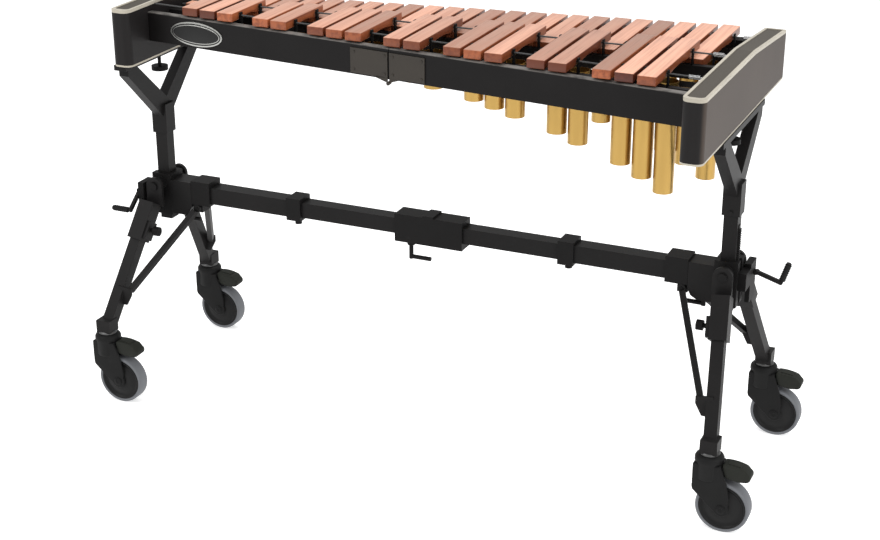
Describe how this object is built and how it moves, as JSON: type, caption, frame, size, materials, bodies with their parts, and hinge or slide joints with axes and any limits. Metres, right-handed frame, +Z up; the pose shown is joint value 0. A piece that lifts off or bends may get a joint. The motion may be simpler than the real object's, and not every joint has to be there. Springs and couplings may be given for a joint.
{
  "type": "xylophone",
  "caption": "Concert xylophone with tuned wooden bars over closed tube resonators, on a height-adjustable folding stand with cranks and braked casters.",
  "frame": {"origin": "centre of the bounding box's footprint, on the floor under the wheels", "axes": "+X along the instrument towards the low notes, +Y towards the player's side (natural bars), +Z up"},
  "size_m": [1.589, 0.649, 0.927],
  "materials": {
    "bar_wood": "satin reddish tone wood",
    "black_wood": "satin black lacquer",
    "board": "satin dark grey-brown lacquer",
    "pale_trim": "satin",
    "gold_tube": "satin gold anodised",
    "frame_paint": "satin charcoal paint",
    "cast_black": "black painted casting",
    "black_plastic": "matt",
    "handle_steel": "black",
    "grip_rubber": "matt",
    "wheel_rubber": "matt grey tread",
    "pedal_plastic": "matt",
    "gear_steel": "machined",
    "post_plastic": "matt",
    "cord_fabric": "woven cord",
    "spring_steel": "bright"
  },
  "bodies": {
    "stand": {"stretcher_tubes": "frame_paint", "centre_coupling": "cast_black", "stretcher_collars": "cast_black", "end_brackets": "frame_paint", "hubs": "cast_black", "gearboxes": "black_plastic"},
    "keyboard": {"end_board_left": "board", "end_board_right": "board", "board_trims": "pale_trim", "front_rails": "black_wood", "rear_rails": "black_wood", "bar_rails": "black_wood", "hinge_plates": "cast_black", "natural_bars": "bar_wood", "sharp_bars": "bar_wood", "bar_posts": "post_plastic", "bar_cords": "cord_fabric", "cord_springs": "spring_steel", "natural_resonators": "gold_tube", "sharp_resonators": "gold_tube", "resonator_rails": "frame_paint", "lift_forks": "frame_paint", "lift_posts": "frame_paint"},
    "pinion_right": {"pinion_right": "gear_steel"},
    "crank_shaft_right": {"crank_shaft_right": "frame_paint"},
    "crank_arm_right": {"crank_arm_right": "frame_paint"},
    "crank_grip_right": {"crank_grip_right": "grip_rubber"},
    "leg_frame_right": {"leg_sleeves_right": "frame_paint", "leg_tubes_right": "frame_paint"},
    "brace_collar_right": {"brace_collar_right": "cast_black"},
    "brace_pair_right": {"braces_right": "frame_paint"},
    "board_knob_right": {"board_knob_right": "black_plastic"},
    "bracket_handle_right": {"bracket_handle_right": "handle_steel"},
    "leg_knob_front_right": {"leg_knob_front_right": "black_plastic"},
    "caster_front_right": {"caster_fork_front_right": "black_plastic"},
    "wheel_front_right": {"caster_wheel_front_right": "wheel_rubber"},
    "pedal_front_right": {"brake_pedal_front_right": "pedal_plastic"},
    "leg_knob_rear_right": {"leg_knob_rear_right": "black_plastic"},
    "caster_rear_right": {"caster_fork_rear_right": "black_plastic"},
    "wheel_rear_right": {"caster_wheel_rear_right": "wheel_rubber"},
    "pedal_rear_right": {"brake_pedal_rear_right": "pedal_plastic"},
    "pinion_left": {"pinion_left": "gear_steel"},
    "crank_shaft_left": {"crank_shaft_left": "frame_paint"},
    "crank_arm_left": {"crank_arm_left": "frame_paint"},
    "crank_grip_left": {"crank_grip_left": "grip_rubber"},
    "leg_frame_left": {"leg_sleeves_left": "frame_paint", "leg_tubes_left": "frame_paint"},
    "brace_collar_left": {"brace_collar_left": "cast_black"},
    "brace_pair_left": {"braces_left": "frame_paint"},
    "board_knob_left": {"board_knob_left": "black_plastic"},
    "bracket_handle_left": {"bracket_handle_left": "handle_steel"},
    "leg_knob_front_left": {"leg_knob_front_left": "black_plastic"},
    "caster_front_left": {"caster_fork_front_left": "black_plastic"},
    "wheel_front_left": {"caster_wheel_front_left": "wheel_rubber"},
    "pedal_front_left": {"brake_pedal_front_left": "pedal_plastic"},
    "leg_knob_rear_left": {"leg_knob_rear_left": "black_plastic"},
    "caster_rear_left": {"caster_fork_rear_left": "black_plastic"},
    "wheel_rear_left": {"caster_wheel_rear_left": "wheel_rubber"},
    "pedal_rear_left": {"brake_pedal_rear_left": "pedal_plastic"},
    "centre_handle": {"centre_handle": "handle_steel"}
  },
  "joints": [
    {"name": "keyboard_height", "type": "slide", "parent": "stand", "child": "keyboard", "axis": [0, 0, 1], "range_m": [-0.095, 0.055]},
    {"name": "pinion_right_turn", "type": "hinge", "parent": "stand", "child": "pinion_right", "pos_m": [0.68925, -0.0085, 0.457], "axis": [0, 1, 0], "range_deg": [-606, 352]},
    {"name": "crank_right_turn", "type": "hinge", "parent": "stand", "child": "crank_shaft_right", "pos_m": [0.7095, 0.0415, 0.457], "axis": [1, 0, 0], "range_deg": [-606, 352]},
    {"name": "crank_right_fold", "type": "hinge", "parent": "crank_shaft_right", "child": "crank_arm_right", "pos_m": [0.7095, 0.0415, 0.457], "axis": [0, 1, 0], "range_deg": [-17, 73]},
    {"name": "grip_right_spin", "type": "hinge", "parent": "crank_arm_right", "child": "crank_grip_right", "pos_m": [0.76114, 0.0415, 0.44123], "axis": [0.2921, 0, 0.9564], "continuous": true},
    {"name": "leg_fold_right", "type": "hinge", "parent": "stand", "child": "leg_frame_right", "pos_m": [0.663, -0.0085, 0.478], "axis": [0, 1, 0], "range_deg": [0, 30]},
    {"name": "collar_slide_right", "type": "slide", "parent": "stand", "child": "brace_collar_right", "axis": [-1, 0, 0], "range_m": [0, 0.1455]},
    {"name": "brace_right_turn", "type": "hinge", "parent": "brace_collar_right", "child": "brace_pair_right", "pos_m": [0.5695, -0.0085, 0.425], "axis": [0, -1, 0], "range_deg": [0, 13.6]},
    {"name": "board_knob_right_turn", "type": "hinge", "parent": "keyboard", "child": "board_knob_right", "pos_m": [0.6515, -0.0255, 0.757], "axis": [0, 0, 1], "range_deg": [-180, 180]},
    {"name": "bracket_handle_right_turn", "type": "hinge", "parent": "stand", "child": "bracket_handle_right", "pos_m": [0.6125, -0.0085, 0.389], "axis": [0, 0, 1], "range_deg": [-90, 90]},
    {"name": "leg_knob_front_right_turn", "type": "hinge", "parent": "leg_frame_right", "child": "leg_knob_front_right", "pos_m": [0.67575, -0.10984, 0.38492], "axis": [1, 0, 0], "range_deg": [-180, 180]},
    {"name": "swivel_front_right", "type": "hinge", "parent": "leg_frame_right", "child": "caster_front_right", "pos_m": [0.7035, -0.2365, 0.175], "axis": [0, 0, 1], "continuous": true},
    {"name": "wheel_front_right_spin", "type": "hinge", "parent": "caster_front_right", "child": "wheel_front_right", "pos_m": [0.7385, -0.2365, 0.056], "axis": [0, 1, 0], "continuous": true},
    {"name": "brake_front_right", "type": "hinge", "parent": "caster_front_right", "child": "pedal_front_right", "pos_m": [0.7345, -0.2365, 0.151], "axis": [0, 1, 0], "range_deg": [0, 12]},
    {"name": "leg_knob_rear_right_turn", "type": "hinge", "parent": "leg_frame_right", "child": "leg_knob_rear_right", "pos_m": [0.67575, 0.09284, 0.38492], "axis": [1, 0, 0], "range_deg": [-180, 180]},
    {"name": "swivel_rear_right", "type": "hinge", "parent": "leg_frame_right", "child": "caster_rear_right", "pos_m": [0.7035, 0.2195, 0.175], "axis": [0, 0, 1], "continuous": true},
    {"name": "wheel_rear_right_spin", "type": "hinge", "parent": "caster_rear_right", "child": "wheel_rear_right", "pos_m": [0.7385, 0.2195, 0.056], "axis": [0, 1, 0], "continuous": true},
    {"name": "brake_rear_right", "type": "hinge", "parent": "caster_rear_right", "child": "pedal_rear_right", "pos_m": [0.7345, 0.2195, 0.151], "axis": [0, 1, 0], "range_deg": [0, 12]},
    {"name": "pinion_left_turn", "type": "hinge", "parent": "stand", "child": "pinion_left", "pos_m": [-0.72625, -0.0085, 0.457], "axis": [0, -1, 0], "range_deg": [-606, 352]},
    {"name": "crank_left_turn", "type": "hinge", "parent": "stand", "child": "crank_shaft_left", "pos_m": [-0.7465, -0.0585, 0.457], "axis": [-1, 0, 0], "range_deg": [-606, 352]},
    {"name": "crank_left_fold", "type": "hinge", "parent": "crank_shaft_left", "child": "crank_arm_left", "pos_m": [-0.7465, -0.0585, 0.457], "axis": [0, 0.6259, -0.7799], "range_deg": [0, 90]},
    {"name": "grip_left_spin", "type": "hinge", "parent": "crank_arm_left", "child": "crank_grip_left", "pos_m": [-0.7465, -0.10061, 0.4232], "axis": [-1, 0, 0], "continuous": true},
    {"name": "leg_fold_left", "type": "hinge", "parent": "stand", "child": "leg_frame_left", "pos_m": [-0.7, -0.0085, 0.478], "axis": [0, -1, 0], "range_deg": [0, 30]},
    {"name": "collar_slide_left", "type": "slide", "parent": "stand", "child": "brace_collar_left", "axis": [1, 0, 0], "range_m": [0, 0.1455]},
    {"name": "brace_left_turn", "type": "hinge", "parent": "brace_collar_left", "child": "brace_pair_left", "pos_m": [-0.6065, -0.0085, 0.425], "axis": [0, 1, 0], "range_deg": [0, 13.6]},
    {"name": "board_knob_left_turn", "type": "hinge", "parent": "keyboard", "child": "board_knob_left", "pos_m": [-0.6885, -0.0255, 0.757], "axis": [0, 0, 1], "range_deg": [-180, 180]},
    {"name": "bracket_handle_left_turn", "type": "hinge", "parent": "stand", "child": "bracket_handle_left", "pos_m": [-0.6495, -0.0085, 0.389], "axis": [0, 0, 1], "range_deg": [-90, 90]},
    {"name": "leg_knob_front_left_turn", "type": "hinge", "parent": "leg_frame_left", "child": "leg_knob_front_left", "pos_m": [-0.71275, -0.10984, 0.38492], "axis": [1, 0, 0], "range_deg": [-180, 180]},
    {"name": "swivel_front_left", "type": "hinge", "parent": "leg_frame_left", "child": "caster_front_left", "pos_m": [-0.7405, -0.2365, 0.175], "axis": [0, 0, 1], "continuous": true},
    {"name": "wheel_front_left_spin", "type": "hinge", "parent": "caster_front_left", "child": "wheel_front_left", "pos_m": [-0.7055, -0.2365, 0.056], "axis": [0, 1, 0], "continuous": true},
    {"name": "brake_front_left", "type": "hinge", "parent": "caster_front_left", "child": "pedal_front_left", "pos_m": [-0.7095, -0.2365, 0.151], "axis": [0, 1, 0], "range_deg": [0, 12]},
    {"name": "leg_knob_rear_left_turn", "type": "hinge", "parent": "leg_frame_left", "child": "leg_knob_rear_left", "pos_m": [-0.71275, 0.09284, 0.38492], "axis": [1, 0, 0], "range_deg": [-180, 180]},
    {"name": "swivel_rear_left", "type": "hinge", "parent": "leg_frame_left", "child": "caster_rear_left", "pos_m": [-0.7405, 0.2195, 0.175], "axis": [0, 0, 1], "continuous": true},
    {"name": "wheel_rear_left_spin", "type": "hinge", "parent": "caster_rear_left", "child": "wheel_rear_left", "pos_m": [-0.7055, 0.2195, 0.056], "axis": [0, 1, 0], "continuous": true},
    {"name": "brake_rear_left", "type": "hinge", "parent": "caster_rear_left", "child": "pedal_rear_left", "pos_m": [-0.7095, 0.2195, 0.151], "axis": [0, 1, 0], "range_deg": [0, 12]},
    {"name": "centre_handle_turn", "type": "hinge", "parent": "stand", "child": "centre_handle", "pos_m": [-0.0625, -0.0085, 0.385], "axis": [0, 0, 1], "range_deg": [0, 110]}
  ],
  "couplings": [
    {"joint": "pinion_right_turn", "follows": "keyboard_height", "rad_per_m": 111.11},
    {"joint": "crank_right_turn", "follows": "keyboard_height", "rad_per_m": 111.11},
    {"joint": "collar_slide_right", "follows": "leg_fold_right", "m_per_rad": 0.276},
    {"joint": "brace_right_turn", "follows": "leg_fold_right", "ratio": 0.42},
    {"joint": "pinion_left_turn", "follows": "keyboard_height", "rad_per_m": 111.11},
    {"joint": "crank_left_turn", "follows": "keyboard_height", "rad_per_m": 111.11},
    {"joint": "collar_slide_left", "follows": "leg_fold_left", "m_per_rad": 0.276},
    {"joint": "brace_left_turn", "follows": "leg_fold_left", "ratio": 0.42}
  ]
}
